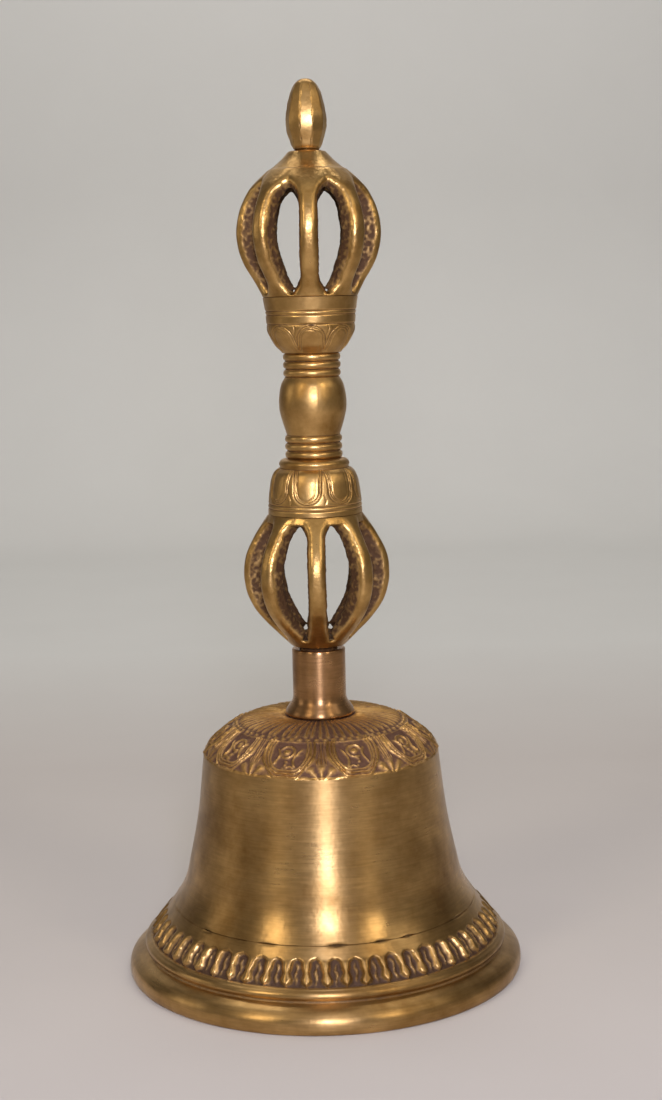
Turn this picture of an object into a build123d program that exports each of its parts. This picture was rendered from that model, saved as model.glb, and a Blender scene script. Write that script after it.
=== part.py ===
"""A Tibetan hand bell, in millimetres.

The bell stands on its lip on the plane Z = 0, with its axis on Z. The handle is a stack of turned and
cast pieces on the bell's crown, and the clapper hangs from an eye bolt under the crown.
"""

import os

from build123d import *

# --- Bell -----------------------------------------------------------------------------------------
rim_diameter = 100.0  # over the lip
rim_face_width = 3.4  # flat ring that the bell rests on
lip_height = 6.3
lip_groove_diameter = 90.6  # groove between the lip and the ornament bands
lip_thickness = 5.6
band_top_height = 17.6  # top of the two ornament bands, where the waist starts
band_top_diameter = 77.0
shoulder_height = 54.0
shoulder_diameter = 60.0
bell_height = 65.2  # lip to the flat of the crown
crown_flat_diameter = 22.0
bell_wall = 3.0
crown_wall = 4.4

# --- Neck ferrule ---------------------------------------------------------------------------------
neck_diameter = 13.4
neck_foot_diameter = 17.4
neck_foot_thickness = 1.0
neck_flare_height = 3.4
neck_height = 16.8
neck_socket_diameter = 9.6  # takes the spigot of the lower cage
neck_socket_depth = 5.6

# --- Cages ----------------------------------------------------------------------------------------
rib_count = 8
rib_width = 4.4
lower_cage_diameter = 36.6
lower_cage_height = 34.3
upper_cage_diameter = 35.6
upper_cage_height = 35.3
rib_depth = 5.2  # rib thickness at the cage's widest point, measured to the axis
cage_foot_diameter = 13.8
cage_foot_gap = 0.9  # shadow gap between the lower cage's foot and the ferrule
spigot_length = 5.2

# --- Middle of the handle -------------------------------------------------------------------------
cup_rim_diameter = 23.4  # where a cup meets its cage
cup_body_diameter = 22.2
cup_throat_diameter = 14.6  # where a cup meets its collar
cup_height = 13.6
collar_diameter = 14.2
collar_height = 5.9
collar_ring_count = 3
bead_diameter = 16.8
bead_end_diameter = 13.4
bead_height = 14.2
core_diameter = 5.0
core_seat_depth = 2.0  # how far the core rod enters each cage

# --- Finial bud -----------------------------------------------------------------------------------
crown_tip_diameter = 8.6  # top of the upper cage's cone
bud_diameter = 10.1
bud_base_diameter = 7.0
bud_height = 16.9
bud_tenon_diameter = 3.6
bud_tenon_length = 4.0

# --- Clapper and its hanger -----------------------------------------------------------------------
stud_diameter = 6.0
stud_thread_length = 8.0  # length screwed into the ferrule
washer_diameter = 17.0
washer_thickness = 1.2
nut_across_flats = 10.0
nut_thickness = 4.6
eye_wire_diameter = 3.0
eye_ring_diameter = 8.0  # to the middle of the wire
link_wire_diameter = 2.6
link_ring_diameter = 10.4
rod_wire_diameter = 3.0
rod_eye_ring_diameter = 8.0
stem_visible_length = 7.4  # stem between the clapper's eye and its bob
bob_diameter = 22.0
bob_ground_gap = 4.5  # bob to the plane that the bell stands on

# --- Clearances -----------------------------------------------------------------------------------
fit_clearance = 0.05  # on the radius, between a tenon and its socket
end_clearance = 0.4  # between a tenon's end and the bottom of its socket
link_clearance = 0.15  # between wires that hang on each other


def turned(outline):
    """Turns a closed half outline, drawn as (radius, height), about the Z axis."""
    return revolve(Plane.XZ * make_face(outline), axis=Axis.Z)


def rod(diameter, bottom, top):
    """An upright cylinder on the Z axis between two heights."""
    length = top - bottom
    return Pos(0, 0, bottom) * Cylinder(diameter / 2, length, align=(Align.CENTER, Align.CENTER, Align.MIN))


def ring(ring_diameter, wire_diameter, height, turn):
    """A round wire ring that stands upright, turned about the Z axis, centred at a height on it."""
    return Pos(0, 0, height) * Rot(0, 0, turn) * Rot(90, 0, 0) * Torus(ring_diameter / 2, wire_diameter / 2)


# --- Heights of the handle's joints, from the crown up ----------------------------------------------
neck_base = bell_height
neck_top = neck_base + neck_height
lower_cage_top = neck_top + lower_cage_height
lower_cup_top = lower_cage_top + cup_height
lower_collar_top = lower_cup_top + collar_height
bead_top = lower_collar_top + bead_height
upper_collar_top = bead_top + collar_height
upper_cup_top = upper_collar_top + cup_height
upper_cage_top = upper_cup_top + upper_cage_height
bud_top = upper_cage_top + bud_height

# --- Heights of the hanger, from the crown down -----------------------------------------------------
crown_ceiling = bell_height - crown_wall
washer_bottom = crown_ceiling - washer_thickness
nut_bottom = washer_bottom - nut_thickness
eye_centre = nut_bottom - 0.6 - (eye_ring_diameter + eye_wire_diameter) / 2
link_pivot = eye_centre - eye_ring_diameter / 2
link_wire_gap = (eye_wire_diameter + link_wire_diameter) / 2 + link_clearance
link_centre = link_pivot + link_wire_gap - link_ring_diameter / 2
clapper_pivot = link_centre - link_ring_diameter / 2
rod_wire_gap = (link_wire_diameter + rod_wire_diameter) / 2 + link_clearance
rod_eye_centre = clapper_pivot + rod_wire_gap - rod_eye_ring_diameter / 2
bob_top = rod_eye_centre - (rod_eye_ring_diameter + rod_wire_diameter) / 2 - stem_visible_length


def bell_body():
    """The cast bell: a thick lip, two bands above it, a flared waist, a domed shoulder and the crown."""
    rim, throat = rim_diameter / 2, lip_groove_diameter / 2
    band_top, shoulder = band_top_diameter / 2, shoulder_diameter / 2
    rise = shoulder_height - band_top_height
    narrowing = band_top - shoulder
    crown = crown_flat_diameter / 2
    hole = stud_diameter / 2 + fit_clearance
    lip_top = (throat + 0.6, lip_height)
    bead_low, bead_high = (throat + 0.3, lip_height + 0.9), (throat - 0.5, lip_height + 3.1)
    strip_low = (band_top + 1.9, band_top_height - 2.6)
    waist_low = (band_top - 0.5, band_top_height + 0.5)
    waist_curve = [
        waist_low,
        (shoulder + 0.63 * narrowing, band_top_height + 0.14 * rise),
        (shoulder + 0.44 * narrowing, band_top_height + 0.32 * rise),
        (shoulder + 0.20 * narrowing, band_top_height + 0.60 * rise),
        (shoulder, shoulder_height),
    ]
    outside = [
        Line((rim - 1.0, 0), (rim, 1.2)),
        ThreePointArc((rim, 1.2), (rim - 0.2, 0.6 * lip_height), lip_top),
        Line(lip_top, (throat, lip_height + 0.4)),
        Line((throat, lip_height + 0.4), bead_low),
        ThreePointArc(bead_low, (throat + 0.5, lip_height + 2.2), bead_high),
        Line(bead_high, strip_low),
        Line(strip_low, (band_top + 0.1, band_top_height)),
        Line((band_top + 0.1, band_top_height), waist_low),
        Spline(waist_curve),
        ThreePointArc(
            (shoulder, shoulder_height),
            (0.21 * crown + 0.79 * shoulder, 0.455 * shoulder_height + 0.545 * bell_height),
            (crown, bell_height - 0.3),
        ),
        Line((crown, bell_height - 0.3), (hole, bell_height)),
    ]
    sound_bow = (rim - 0.5 - lip_thickness, 0.6 * lip_height)
    inner_waist = [(r - bell_wall, z) for r, z in waist_curve]
    inner_crown = (crown + 1.0, crown_ceiling)
    inside = [
        Line((hole, bell_height), (hole, crown_ceiling)),
        Line((hole, crown_ceiling), inner_crown),
        ThreePointArc(
            inner_crown,
            (0.21 * inner_crown[0] + 0.79 * inner_waist[-1][0], 0.44 * shoulder_height + 0.56 * crown_ceiling),
            inner_waist[-1],
        ),
        Spline(inner_waist[::-1]),
        Line(inner_waist[0], sound_bow),
        Line(sound_bow, (rim - 1.0 - rim_face_width, 0)),
        Line((rim - 1.0 - rim_face_width, 0), (rim - 1.0, 0)),
    ]
    return turned(outside + inside)


def neck_ferrule():
    """The plain tube on the crown, flared at its foot, threaded for the eye bolt and socketed on top."""
    foot, neck = neck_foot_diameter / 2, neck_diameter / 2
    flare_top = neck_base + neck_foot_thickness + neck_flare_height
    outline = [
        Line((0, neck_base), (foot, neck_base)),
        Line((foot, neck_base), (foot, neck_base + neck_foot_thickness)),
        ThreePointArc(
            (foot, neck_base + neck_foot_thickness),
            (neck + 0.22 * (foot - neck), neck_base + neck_foot_thickness + 0.45 * neck_flare_height),
            (neck, flare_top),
        ),
        Line((neck, flare_top), (neck, neck_top)),
        Line((neck, neck_top), (0, neck_top)),
        Line((0, neck_top), (0, neck_base)),
    ]
    body = turned(outline)
    body -= rod(stud_diameter + 2 * fit_clearance, neck_base, neck_base + stud_thread_length + end_clearance)
    body -= rod(neck_socket_diameter, neck_top - neck_socket_depth, neck_top)
    return body


def cage(outline_points, hollow_points, hub_outlines):
    """An openwork ball: ribs cut from a turned shell, joined by solid hubs at both ends.

    outline_points run up the outside, hollow_points up the inside, and both end near the axis.
    """
    low, high = outline_points[0], outline_points[-1]
    skin = turned(
        [
            Line((0, low[1]), low),
            Spline(outline_points),
            Line(high, (0, high[1])),
            Line((0, high[1]), (0, low[1])),
        ]
    )
    hollow = turned([Spline(hollow_points), Line(hollow_points[-1], hollow_points[0])])
    reach = 4 * max(radius for radius, _ in outline_points)
    blade = Box(reach, rib_width, 3 * high[1])
    blades = [Rot(0, 0, turn * 360 / rib_count) * blade for turn in range(rib_count // 2)]
    ribs = (skin & (blades[0] + blades[1:])) - hollow
    hubs = [skin & (turned(outline)) for outline in hub_outlines]
    return ribs + hubs


def hub(radius, bottom, top):
    """The half outline of a plain disc, used to close an end of a cage."""
    return Polyline((0, bottom), (radius, bottom), (radius, top), (0, top), (0, bottom))


def lower_cage():
    """The lower openwork ball, with a foot and a spigot that seats in the neck ferrule."""
    wide, foot, cup = lower_cage_diameter / 2, cage_foot_diameter / 2, cup_rim_diameter / 2
    base = neck_top + cage_foot_gap
    tall = lower_cage_top - base
    outline = [
        (foot, base),
        (0.70 * wide, base + 0.185 * tall),
        (wide, base + 0.565 * tall),
        (0.86 * wide, base + 0.83 * tall),
        (cup, lower_cage_top),
    ]
    hollow = [
        (0, base + 0.10 * tall),
        (0.44 * wide, base + 0.22 * tall),
        (wide - rib_depth, base + 0.56 * tall),
        (0.50 * wide, base + 0.86 * tall),
        (0, base + 0.93 * tall),
    ]
    body = cage(outline, hollow, [hub(wide, base, base + 0.09 * tall), hub(wide, base + 0.93 * tall, lower_cage_top)])
    body += rod(neck_socket_diameter - 2 * fit_clearance, neck_top - spigot_length, base)
    body -= rod(core_diameter + 2 * fit_clearance, lower_cage_top - core_seat_depth, lower_cage_top)
    return body


def upper_cage():
    """The upper openwork ball, closed by a cone with a socket for the bud's tenon."""
    wide, cup, tip = upper_cage_diameter / 2, cup_rim_diameter / 2, crown_tip_diameter / 2
    base, tall = upper_cup_top, upper_cage_height
    outline = [
        (cup, base),
        (0.85 * wide, base + 0.18 * tall),
        (wide, base + 0.45 * tall),
        (0.81 * wide, base + 0.73 * tall),
        (0.375 * wide, base + 0.935 * tall),
        (tip, upper_cage_top),
    ]
    hollow = [
        (0, base + 0.06 * tall),
        (0.50 * wide, base + 0.13 * tall),
        (wide - rib_depth, base + 0.44 * tall),
        (0.50 * wide, base + 0.73 * tall),
        (0, base + 0.80 * tall),
    ]
    body = cage(outline, hollow, [hub(wide, base, base + 0.06 * tall), hub(wide, base + 0.79 * tall, upper_cage_top)])
    body -= rod(core_diameter + 2 * fit_clearance, base, base + core_seat_depth)
    tenon_bottom = upper_cage_top - bud_tenon_length - end_clearance
    body -= rod(bud_tenon_diameter + 2 * fit_clearance, tenon_bottom, upper_cage_top)
    return body


def lotus_cup(rim_height, direction):
    """A cup bored for the core rod: its rim meets a cage, and it narrows away from it to its throat."""
    rim, body, throat = cup_rim_diameter / 2, cup_body_diameter / 2, cup_throat_diameter / 2
    bore = core_diameter / 2 + fit_clearance

    def at(radius, share):
        return (radius, rim_height + direction * share * cup_height)

    outline = [
        Line(at(bore, 0), at(rim, 0)),
        Spline(at(rim, 0), at(body, 0.30), at(body - 0.15, 0.56)),
        Spline(at(body - 0.15, 0.56), at(0.87 * body, 0.75), at(throat, 1.0)),
        Line(at(throat, 1.0), at(bore, 1.0)),
        Line(at(bore, 1.0), at(bore, 0)),
    ]
    return turned(outline)


def collar(bottom):
    """A stack of half-round rings, bored for the core rod."""
    radius, pitch = collar_diameter / 2, collar_height / collar_ring_count
    bore = core_diameter / 2 + fit_clearance
    root = radius - 0.36 * pitch
    outline = [Line((bore, bottom), (root, bottom))]
    for turn in range(collar_ring_count):
        low = bottom + turn * pitch
        outline.append(ThreePointArc((root, low), (radius, low + pitch / 2), (root, low + pitch)))
    top = bottom + collar_height
    outline += [Line((root, top), (bore, top)), Line((bore, top), (bore, bottom))]
    return turned(outline)


def centre_bead():
    """The smooth barrel bead, bored for the core rod."""
    end, wide = bead_end_diameter / 2, bead_diameter / 2
    bore = core_diameter / 2 + fit_clearance
    outline = [
        Line((bore, lower_collar_top), (end, lower_collar_top)),
        Spline(
            (end, lower_collar_top),
            (0.93 * wide, lower_collar_top + 0.27 * bead_height),
            (wide, lower_collar_top + 0.56 * bead_height),
            (0.94 * wide, lower_collar_top + 0.83 * bead_height),
            (end, bead_top),
        ),
        Line((end, bead_top), (bore, bead_top)),
        Line((bore, bead_top), (bore, lower_collar_top)),
    ]
    return turned(outline)


def handle_core():
    """The rod that the cups, the collars and the bead are threaded on, seated in both cages."""
    bottom = lower_cage_top - core_seat_depth + end_clearance / 2
    top = upper_cup_top + core_seat_depth - end_clearance / 2
    return rod(core_diameter, bottom, top)


def finial_bud():
    """The bud on top, with its tenon in the upper cage's cone."""
    base, wide = bud_base_diameter / 2, bud_diameter / 2
    outline = [
        Line((0, upper_cage_top), (base, upper_cage_top)),
        Spline(
            (base, upper_cage_top),
            (0.96 * wide, upper_cage_top + 0.27 * bud_height),
            (wide, upper_cage_top + 0.42 * bud_height),
            (0.78 * wide, upper_cage_top + 0.77 * bud_height),
            (0.30 * wide, bud_top - 0.25),
        ),
        Line((0.30 * wide, bud_top - 0.25), (0, bud_top)),
        Line((0, bud_top), (0, upper_cage_top)),
    ]
    return turned(outline) + rod(bud_tenon_diameter, upper_cage_top - bud_tenon_length, upper_cage_top)


def hanger_eye_bolt():
    """The eye bolt through the crown: its stud screws into the ferrule and its eye carries the link."""
    stud = rod(stud_diameter, nut_bottom - 0.4, neck_base + stud_thread_length)
    neck = rod(eye_wire_diameter, eye_centre + eye_ring_diameter / 2, nut_bottom)
    return stud + neck + ring(eye_ring_diameter, eye_wire_diameter, eye_centre, 0)


def crown_washer():
    """The plain washer under the crown."""
    hole = stud_diameter + 2 * fit_clearance
    return rod(washer_diameter, washer_bottom, crown_ceiling) - rod(hole, washer_bottom, crown_ceiling)


def crown_nut():
    """The hexagonal nut under the washer."""
    flats = RegularPolygon(nut_across_flats / 2, 6, major_radius=False)
    blank = Pos(0, 0, nut_bottom) * extrude(flats, nut_thickness)
    return blank - rod(stud_diameter + 2 * fit_clearance, nut_bottom, washer_bottom)


def clapper_link():
    """The ring that hangs on the bolt's eye, square to it."""
    return ring(link_ring_diameter, link_wire_diameter, link_centre, 90)


def clapper_rod():
    """The clapper's stem, with an eye that hangs on the link and a foot that holds the bob."""
    stem_top = rod_eye_centre - rod_eye_ring_diameter / 2
    stem = rod(rod_wire_diameter, bob_ground_gap, stem_top)
    return stem + ring(rod_eye_ring_diameter, rod_wire_diameter, rod_eye_centre, 0)


def clapper_bob():
    """The striking weight: a squashed ball, bored for the stem and riveted on it."""
    bore, wide = rod_wire_diameter / 2 + fit_clearance, bob_diameter / 2
    low, high = bob_ground_gap, bob_top
    tall = high - low
    outline = [
        Line((bore, low), (0.5 * wide, low)),
        Spline(
            (0.5 * wide, low),
            (0.88 * wide, low + 0.20 * tall),
            (wide, low + 0.46 * tall),
            (0.85 * wide, low + 0.76 * tall),
            (0.40 * wide, high),
        ),
        Line((0.40 * wide, high), (bore, high)),
        Line((bore, high), (bore, low)),
    ]
    return turned(outline)


pieces = {
    "bell_body": bell_body(),
    "neck_ferrule": neck_ferrule(),
    "lower_cage": lower_cage(),
    "lower_lotus_cup": lotus_cup(lower_cage_top, 1),
    "lower_collar": collar(lower_cup_top),
    "centre_bead": centre_bead(),
    "upper_collar": collar(bead_top),
    "upper_lotus_cup": lotus_cup(upper_cup_top, -1),
    "upper_cage": upper_cage(),
    "finial_bud": finial_bud(),
    "handle_core": handle_core(),
    "hanger_eye_bolt": hanger_eye_bolt(),
    "crown_washer": crown_washer(),
    "crown_nut": crown_nut(),
    "clapper_link": clapper_link(),
    "clapper_rod": clapper_rod(),
    "clapper_bob": clapper_bob(),
}

os.makedirs("parts", exist_ok=True)
for name, piece in pieces.items():
    export_step(piece, f"parts/{name}.step")

print(f"link pivot at {link_pivot:.2f}, clapper pivot at {clapper_pivot:.2f}, top at {bud_top:.2f}")
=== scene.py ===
"""The looks of a Tibetan hand bell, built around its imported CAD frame.

The frame is in metres. Outlines here are in millimetres, as (radius, height) about the bell's axis, and
take their ends from the CAD pieces' boxes. The front of the bell faces -Y.
"""

import math
import random

import bmesh
import bpy
import numpy as np
from mathutils import Matrix, Vector, noise


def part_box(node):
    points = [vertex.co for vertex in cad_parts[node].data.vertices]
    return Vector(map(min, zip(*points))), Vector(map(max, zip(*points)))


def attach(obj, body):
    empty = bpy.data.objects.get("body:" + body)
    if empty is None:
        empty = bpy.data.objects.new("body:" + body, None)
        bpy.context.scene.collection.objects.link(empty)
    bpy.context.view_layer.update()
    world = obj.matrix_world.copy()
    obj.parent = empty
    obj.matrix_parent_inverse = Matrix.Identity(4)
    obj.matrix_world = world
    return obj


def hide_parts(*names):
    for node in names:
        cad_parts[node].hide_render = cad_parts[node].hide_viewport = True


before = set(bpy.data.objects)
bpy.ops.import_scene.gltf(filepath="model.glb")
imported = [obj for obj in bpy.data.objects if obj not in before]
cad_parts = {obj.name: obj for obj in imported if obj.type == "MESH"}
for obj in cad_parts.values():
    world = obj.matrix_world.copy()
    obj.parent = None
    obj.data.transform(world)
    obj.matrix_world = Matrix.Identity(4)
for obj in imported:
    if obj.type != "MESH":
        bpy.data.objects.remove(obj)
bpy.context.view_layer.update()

MM = 0.001
FRONT = -math.pi / 2  # the angle about the axis that faces the camera


def span(node):
    """Radius, bottom and top of a CAD piece, in millimetres."""
    low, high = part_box(node)
    return (high.x - low.x) / 2 / MM, low.z / MM, high.z / MM


RIM, _, CROWN = span("bell_body")
FOOT, NECK_LOW, NECK_TOP = span("neck_ferrule")
LOWER_CAGE, _, LOWER_CAGE_TOP = span("lower_cage")
CUP, LOWER_CUP_LOW, LOWER_CUP_TOP = span("lower_lotus_cup")
COLLAR, LOWER_COLLAR_LOW, LOWER_COLLAR_TOP = span("lower_collar")
BEAD, BEAD_LOW, BEAD_TOP = span("centre_bead")
_, UPPER_COLLAR_LOW, UPPER_COLLAR_TOP = span("upper_collar")
_, UPPER_CUP_LOW, UPPER_CUP_TOP = span("upper_lotus_cup")
UPPER_CAGE, UPPER_CAGE_LOW, UPPER_CAGE_TOP = span("upper_cage")
BUD, _, BUD_TOP = span("finial_bud")
STUD = 3.0  # radius of the hole through the crown
CORE = 2.6  # radius of the bore for the handle's core rod

# ---------------------------------------------------------------------------------------- modelling


def deselect():
    bpy.ops.object.select_all(action="DESELECT")


def smooth_run(points, rows):
    """Evenly spaced points along a smooth curve through a few control points."""
    p = np.array(points, float)
    t = np.concatenate([[0.0], np.cumsum(np.linalg.norm(np.diff(p, axis=0), axis=1))])
    slope = np.gradient(p, t, axis=0)
    fine = np.linspace(0, t[-1], rows * 8 + 1)
    k = np.clip(np.searchsorted(t, fine, side="right") - 1, 0, len(p) - 2)
    h = (t[k + 1] - t[k])[:, None]
    u = (fine - t[k])[:, None] / h
    curve = (
        (2 * u**3 - 3 * u**2 + 1) * p[k]
        + (u**3 - 2 * u**2 + u) * h * slope[k]
        + (3 * u**2 - 2 * u**3) * p[k + 1]
        + (u**3 - u**2) * h * slope[k + 1]
    )
    run = np.concatenate([[0.0], np.cumsum(np.linalg.norm(np.diff(curve, axis=0), axis=1))])
    even = np.linspace(0, run[-1], rows + 1)
    return list(zip(np.interp(even, run, curve[:, 0]), np.interp(even, run, curve[:, 1])))


def straight_run(start, end, rows):
    """Evenly spaced points along a straight line."""
    return [
        (start[0] + (end[0] - start[0]) * k / rows, start[1] + (end[1] - start[1]) * k / rows)
        for k in range(rows + 1)
    ]


def joined_runs(*runs):
    """One outline from several runs, without repeated points."""
    outline = [runs[0][0]]
    for run in runs:
        for point in run:
            if math.dist(point, outline[-1]) > 1e-4:
                outline.append(point)
    return outline


def turned(name, outline, steps):
    """Draws a closed half outline by extruding a point along it, then spins it about the bell's axis.

    The outline goes up the outside and comes back down the inside. The spin makes a sixteenth of a turn,
    which is then doubled four times over.
    """
    deselect()
    bpy.ops.mesh.primitive_plane_add(size=MM)
    piece = bpy.context.object
    piece.name = piece.data.name = name
    bpy.ops.object.mode_set(mode="EDIT")
    bpy.ops.mesh.select_all(action="SELECT")
    bpy.ops.mesh.merge(type="CENTER")
    start = outline[0]
    bpy.ops.transform.translate(value=(start[0] * MM, 0, start[1] * MM))
    for here, there in zip(outline, outline[1:] + outline[:1]):
        move = ((there[0] - here[0]) * MM, 0, (there[1] - here[1]) * MM)
        bpy.ops.mesh.extrude_region_move(TRANSFORM_OT_translate={"value": move})
    bpy.ops.mesh.select_all(action="SELECT")
    bpy.ops.mesh.remove_doubles(threshold=0.002 * MM)
    bpy.ops.mesh.select_all(action="SELECT")
    wedge = 2 * math.pi / 16
    bpy.ops.mesh.spin(steps=steps // 16, angle=wedge, center=(0, 0, 0), axis=(0, 0, 1))
    for doubling in range(4):
        bpy.ops.mesh.select_all(action="SELECT")
        bpy.ops.mesh.duplicate()
        bpy.ops.transform.rotate(value=wedge * 2**doubling, orient_axis="Z", center_override=(0, 0, 0))
    bpy.ops.mesh.select_all(action="SELECT")
    bpy.ops.mesh.remove_doubles(threshold=0.002 * MM)
    bpy.ops.mesh.normals_make_consistent(inside=False)
    bpy.ops.object.mode_set(mode="OBJECT")
    return piece


def corners(piece):
    """The piece's vertices, as an array in millimetres."""
    flat = np.empty(len(piece.data.vertices) * 3)
    piece.data.vertices.foreach_get("co", flat)
    return flat.reshape(-1, 3) / MM


def put_corners(piece, places):
    """Moves the piece's vertices to an array of places in millimetres."""
    piece.data.vertices.foreach_set("co", (places * MM).ravel())
    piece.data.update()


def keep_worn(piece, worn):
    """Stores how far each vertex is rubbed bright: 0 in a dark recess, 1 on a worn crest."""
    stored = piece.data.attributes.new("worn", "FLOAT", "POINT")
    stored.data.foreach_set("value", np.clip(worn, 0, 1).astype(np.float32))


def raised(piece, outline, relief):
    """Moves the vertices of a turned piece out along its outline's normals by a relief.

    The relief takes arrays of angle, run along the outline from its start, radius and height, all but
    the angle in millimetres, and returns the move in millimetres and the wear from 0 to 1.
    """
    path = np.array(outline + outline[:1])
    run = np.concatenate([[0.0], np.cumsum(np.linalg.norm(np.diff(path, axis=0), axis=1))])
    before, after = np.roll(path[:-1], 1, axis=0), np.roll(path[:-1], -1, axis=0)
    along = after - before
    normal = np.stack([along[:, 1], -along[:, 0]], 1) / np.linalg.norm(along, axis=1)[:, None]
    places = corners(piece)
    radius, height = np.hypot(places[:, 0], places[:, 1]), places[:, 2]
    angle = np.arctan2(places[:, 1], places[:, 0])
    nearest = np.empty(len(places), int)
    for first in range(0, len(places), 20000):
        block = slice(first, first + 20000)
        gap = np.hypot(radius[block, None] - path[None, :-1, 0], height[block, None] - path[None, :-1, 1])
        nearest[block] = gap.argmin(1)
    move, worn = relief(angle, run[nearest], radius, height)
    radius = radius + move * normal[nearest, 0]
    height = height + move * normal[nearest, 1]
    put_corners(piece, np.stack([radius * np.cos(angle), radius * np.sin(angle), height], 1))
    keep_worn(piece, worn)


def run_at(outline, radius, height):
    """How far along an outline its point nearest to a place is."""
    path = np.array(outline)
    run = np.concatenate([[0.0], np.cumsum(np.linalg.norm(np.diff(path, axis=0), axis=1))])
    return run[np.hypot(path[:, 0] - radius, path[:, 1] - height).argmin()]


def smooth(piece, degrees=40):
    deselect()
    piece.select_set(True)
    bpy.context.view_layer.objects.active = piece
    bpy.ops.object.shade_smooth_by_angle(angle=math.radians(degrees))


def crest(distance, half_width):
    """A soft ridge: 1 on its crest, falling away past its half width."""
    return np.exp(-((distance / half_width) ** 2))


def within(value, low, high, soft):
    """1 between two values and 0 outside them, with soft ends."""
    rise = 1 / (1 + np.exp(-np.clip((value - low) / soft, -40, 40)))
    fall = 1 / (1 + np.exp(-np.clip((high - value) / soft, -40, 40)))
    return rise * fall


def off_nearest(angle, count, first):
    """Angle from the nearest of several evenly spaced places, and which place that is."""
    pitch = 2 * math.pi / count
    which = np.round((angle - first) / pitch).astype(int)
    return angle - first - which * pitch, which % count


def lumps(angle, radius, height, size, seed=0.0):
    """Uneven swellings of a hand-finished casting, from -1 to 1, about one size apart."""
    x, y = radius * np.cos(angle) / size, radius * np.sin(angle) / size
    z = height / size
    return np.array([noise.noise(Vector((a + seed, b, c))) for a, b, c in zip(x, y, z)])


# --------------------------------------------------------------------------------------- materials


def linear(colour):
    """An sRGB hex colour as linear RGBA."""
    channels = [int(colour[k : k + 2], 16) / 255 for k in (1, 3, 5)]
    return (*(v / 12.92 if v <= 0.04045 else ((v + 0.055) / 1.055) ** 2.4 for v in channels), 1.0)


def add(tree, kind, sockets=None, **settings):
    """Adds a node with its settings, and fills its sockets with values or with other sockets."""
    made = tree.nodes.new(kind)
    for key, value in settings.items():
        setattr(made, key, value)
    for key, value in (sockets or {}).items():
        if isinstance(value, bpy.types.NodeSocket):
            tree.links.new(value, made.inputs[key])
        else:
            made.inputs[key].default_value = value
    return made


def new_material(name):
    """An empty material with its output node, and its tree."""
    made = bpy.data.materials.new(name)
    made.use_nodes = True
    made.node_tree.nodes.clear()
    return made, made.node_tree


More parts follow.
